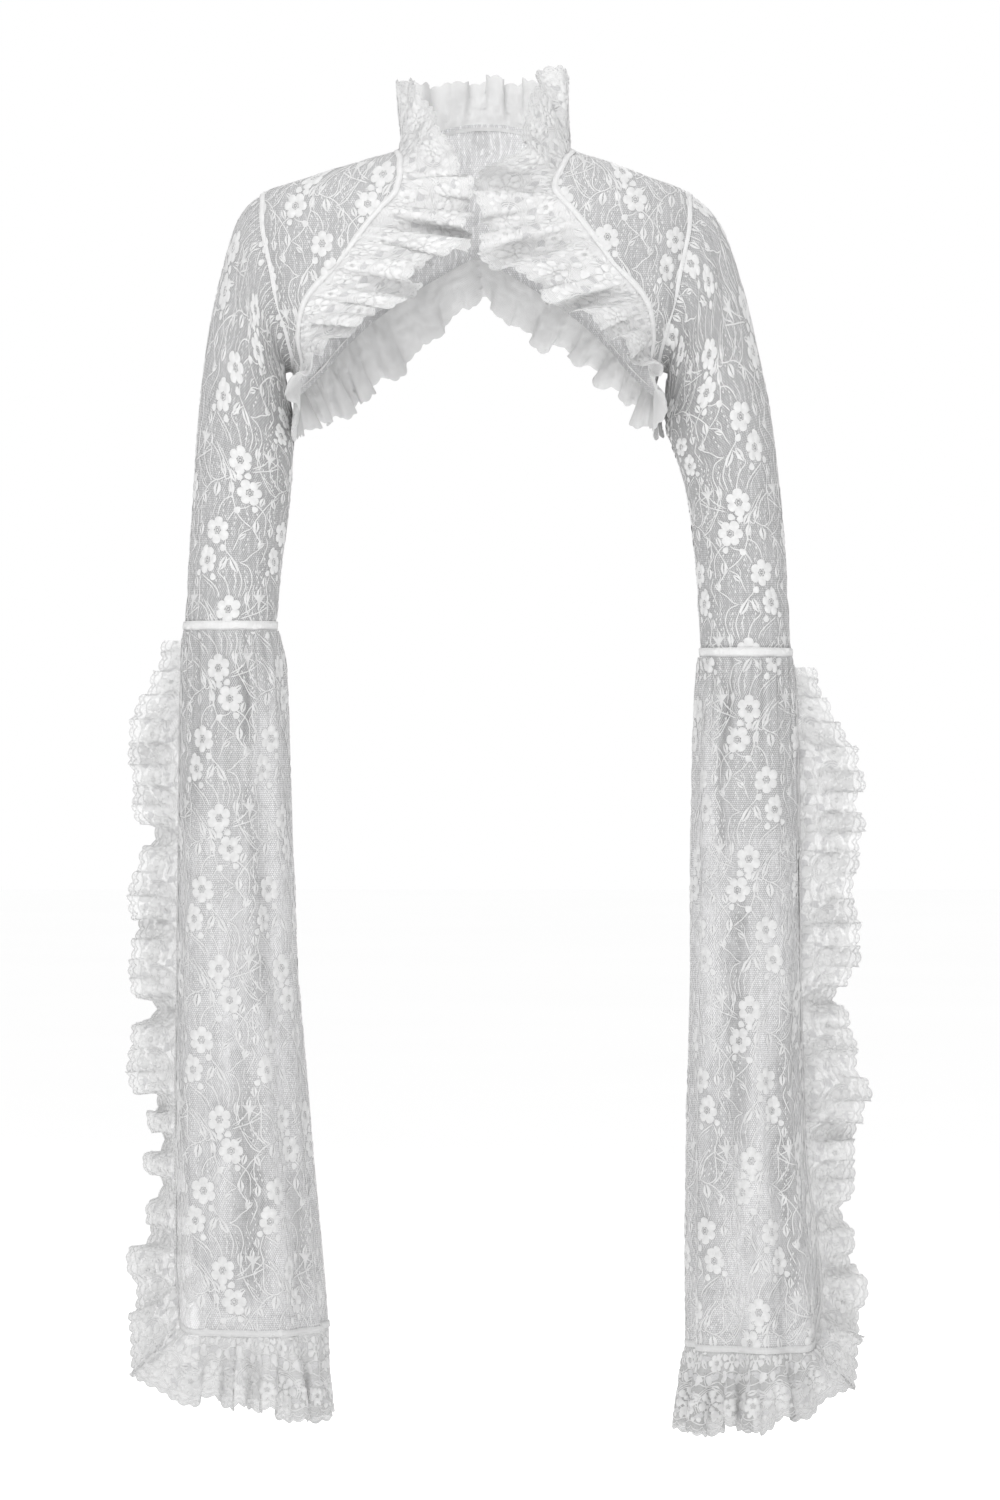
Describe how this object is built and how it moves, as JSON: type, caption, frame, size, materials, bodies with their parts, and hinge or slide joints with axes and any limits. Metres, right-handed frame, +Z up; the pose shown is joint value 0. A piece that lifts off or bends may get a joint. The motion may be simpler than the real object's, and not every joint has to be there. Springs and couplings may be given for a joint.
{
  "type": "bolero jacket",
  "caption": "Short open lace bolero with standing ruffled collar, ruffled front and hem, fitted sleeves and long slit bell sleeves.",
  "frame": {"origin": "between the neck points of the two shoulder seams, where the wearer's shoulders carry the jacket", "axes": "+Z up along the worn garment, front towards -Y, the wearer's right towards -X"},
  "size_m": [0.636, 0.2807, 1.1727],
  "materials": {
    "back_lace": "matt floral lace",
    "bell_left_lace": "matt floral lace",
    "bell_right_lace": "matt floral lace",
    "bell_ruffle_left_lace": "matt corded lace with a scalloped edge",
    "bell_ruffle_right_lace": "matt corded lace with a scalloped edge",
    "collar_ruffle_lace": "matt corded lace with a scalloped edge",
    "elbow_band_left_lace": "woven tape",
    "elbow_band_right_lace": "woven tape",
    "front_left_lace": "matt floral lace",
    "front_right_lace": "matt floral lace",
    "front_ruffle_left_lace": "matt corded lace with a scalloped edge",
    "front_ruffle_right_lace": "matt corded lace with a scalloped edge",
    "hem_ruffle_lace": "matt corded lace with a scalloped edge",
    "lower_sleeve_left_lace": "matt floral lace",
    "lower_sleeve_right_lace": "matt floral lace",
    "upper_sleeve_left_lace": "matt floral lace",
    "upper_sleeve_right_lace": "matt floral lace"
  },
  "bodies": {
    "root": {"back": "back_lace", "bell_left": "bell_left_lace", "bell_right": "bell_right_lace", "bell_ruffle_left": "bell_ruffle_left_lace", "bell_ruffle_right": "bell_ruffle_right_lace", "collar_ruffle": "collar_ruffle_lace", "elbow_band_left": "elbow_band_left_lace", "elbow_band_right": "elbow_band_right_lace", "front_left": "front_left_lace", "front_right": "front_right_lace", "front_ruffle_left": "front_ruffle_left_lace", "front_ruffle_right": "front_ruffle_right_lace", "hem_ruffle": "hem_ruffle_lace", "lower_sleeve_left": "lower_sleeve_left_lace", "lower_sleeve_right": "lower_sleeve_right_lace", "upper_sleeve_left": "upper_sleeve_left_lace", "upper_sleeve_right": "upper_sleeve_right_lace"}
  },
  "joints": []
}
